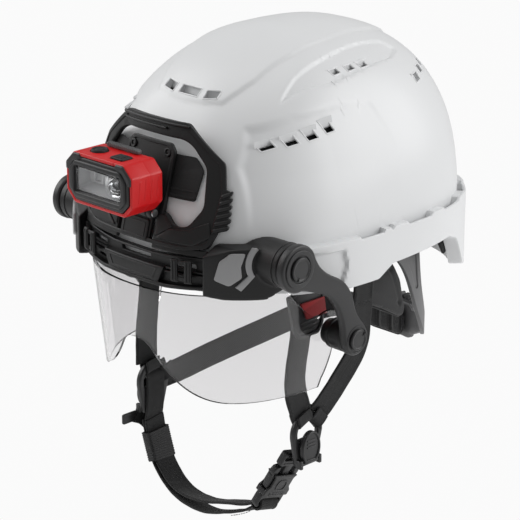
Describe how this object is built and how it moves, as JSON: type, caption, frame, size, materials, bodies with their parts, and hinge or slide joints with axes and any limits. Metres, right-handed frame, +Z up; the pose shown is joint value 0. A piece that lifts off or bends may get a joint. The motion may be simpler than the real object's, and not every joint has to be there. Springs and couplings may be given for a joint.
{
  "type": "arborist helmet",
  "caption": "Climbing-style safety helmet with vented shell, swing-up clear visor, tilting clip-on lamp, size-adjust nape cradle and side-release chin strap.",
  "frame": {"origin": "on the centre line in the plane of the headband, where the wearer's head carries the helmet", "axes": "+Z up, front of the helmet towards -Y, wearer's left towards +X"},
  "size_m": [0.2384, 0.316, 0.3607],
  "materials": {
    "shell_white": "gloss",
    "black_plastic": "satin",
    "dark_plastic": "satin",
    "grey_plastic": "satin",
    "foam": "matte",
    "webbing": "matte",
    "red_plastic": "satin",
    "red_label": "matte",
    "clear_lens": "polished",
    "lamp_glass": "polished",
    "reflector": "polished",
    "steel": "satin"
  },
  "bodies": {
    "helmet": {"shell": "shell_white", "foam_liner": "foam", "headband": "dark_plastic", "brow_pad": "foam", "crown_webbing": "webbing", "crown_pad": "foam", "visor_carrier": "black_plastic", "lamp_mount_frame": "black_plastic", "lamp_strap": "webbing", "lamp_bracket": "black_plastic", "lamp_hinge_pin": "steel", "chin_strap": "webbing", "keeper_sleeve": "webbing", "strap_end_tab": "dark_plastic", "buckle_socket": "dark_plastic", "buckle_plug": "dark_plastic", "hub_housing_left": "black_plastic", "hub_housing_right": "black_plastic", "latch_clip_left": "black_plastic", "latch_clip_right": "black_plastic", "strap_guard_left": "dark_plastic", "strap_guard_right": "dark_plastic", "strap_label_left": "red_label", "strap_label_right": "red_label", "strap_front_left": "webbing", "strap_front_right": "webbing", "strap_rear_left": "webbing", "strap_rear_right": "webbing", "slider_left": "dark_plastic", "slider_right": "dark_plastic"},
    "visor_arms": {"arm_left": "dark_plastic", "arm_right": "dark_plastic", "hub_cap_left": "dark_plastic", "hub_cap_right": "dark_plastic", "pivot_cap_left": "grey_plastic", "pivot_cap_right": "grey_plastic"},
    "lens": {"lens": "clear_lens", "lens_boss_left": "dark_plastic", "lens_boss_right": "dark_plastic"},
    "lamp": {"lamp_housing": "red_plastic", "lamp_rear_case": "black_plastic", "lamp_bezel": "dark_plastic", "lamp_window": "lamp_glass", "lamp_reflector": "reflector", "spot_optic": "lamp_glass", "flood_light": "reflector", "battery_latch": "grey_plastic"},
    "power_button": {"power_button": "dark_plastic"},
    "mode_button": {"mode_button": "dark_plastic"},
    "nape_cradle": {"nape_frame": "grey_plastic", "nape_pad": "foam", "ratchet_housing": "dark_plastic", "side_pad_left": "foam", "side_pad_right": "foam"},
    "nape_knob": {"ratchet_knob": "dark_plastic", "ratchet_pinion": "steel"},
    "cam_lever_left": {"cam_lever_left": "dark_plastic"},
    "cam_lever_right": {"cam_lever_right": "dark_plastic"},
    "buckle_tab_front": {"buckle_tab_front": "dark_plastic"},
    "buckle_tab_rear": {"buckle_tab_rear": "dark_plastic"}
  },
  "joints": [
    {"name": "visor_lift", "type": "hinge", "parent": "helmet", "child": "visor_arms", "pos_m": [0, -0.099, 0.005], "axis": [-1, 0, 0], "range_deg": [0, 165]},
    {"name": "lens_tilt", "type": "hinge", "parent": "visor_arms", "child": "lens", "pos_m": [0, -0.042, -0.06], "axis": [-1, 0, 0], "range_deg": [-111, 0]},
    {"name": "lamp_tilt", "type": "hinge", "parent": "helmet", "child": "lamp", "pos_m": [0, -0.139, 0.031], "axis": [1, 0, 0], "range_deg": [0, 40]},
    {"name": "power_press", "type": "slide", "parent": "lamp", "child": "power_button", "axis": [0, 0, -1], "range_m": [0, 0.0012], "stiffness_N_per_m": 300},
    {"name": "mode_press", "type": "slide", "parent": "lamp", "child": "mode_button", "axis": [0, 0, -1], "range_m": [0, 0.0012], "stiffness_N_per_m": 300},
    {"name": "nape_adjust", "type": "slide", "parent": "helmet", "child": "nape_cradle", "axis": [0, -1, 0], "range_m": [0, 0.012]},
    {"name": "knob_turn", "type": "hinge", "parent": "nape_cradle", "child": "nape_knob", "pos_m": [0, 0.138, -0.116], "axis": [0, 1, 0], "range_deg": [0, 98.7]},
    {"name": "cam_left", "type": "hinge", "parent": "helmet", "child": "cam_lever_left", "pos_m": [0.0796, -0.05, -0.161], "axis": [0, 1, 0], "range_deg": [0, 70]},
    {"name": "cam_right", "type": "hinge", "parent": "helmet", "child": "cam_lever_right", "pos_m": [-0.0796, -0.06, -0.161], "axis": [0, -1, 0], "range_deg": [0, 70]},
    {"name": "tab_front_press", "type": "slide", "parent": "helmet", "child": "buckle_tab_front", "axis": [-0.0134, 0.9662, -0.2574], "range_m": [0, 0.0018], "stiffness_N_per_m": 300},
    {"name": "tab_rear_press", "type": "slide", "parent": "helmet", "child": "buckle_tab_rear", "axis": [0.0134, -0.9662, 0.2574], "range_m": [0, 0.0018], "stiffness_N_per_m": 300}
  ],
  "couplings": [
    {"joint": "lens_tilt", "follows": "visor_lift", "ratio": -0.66667},
    {"joint": "knob_turn", "follows": "nape_adjust", "rad_per_m": 142.86}
  ]
}
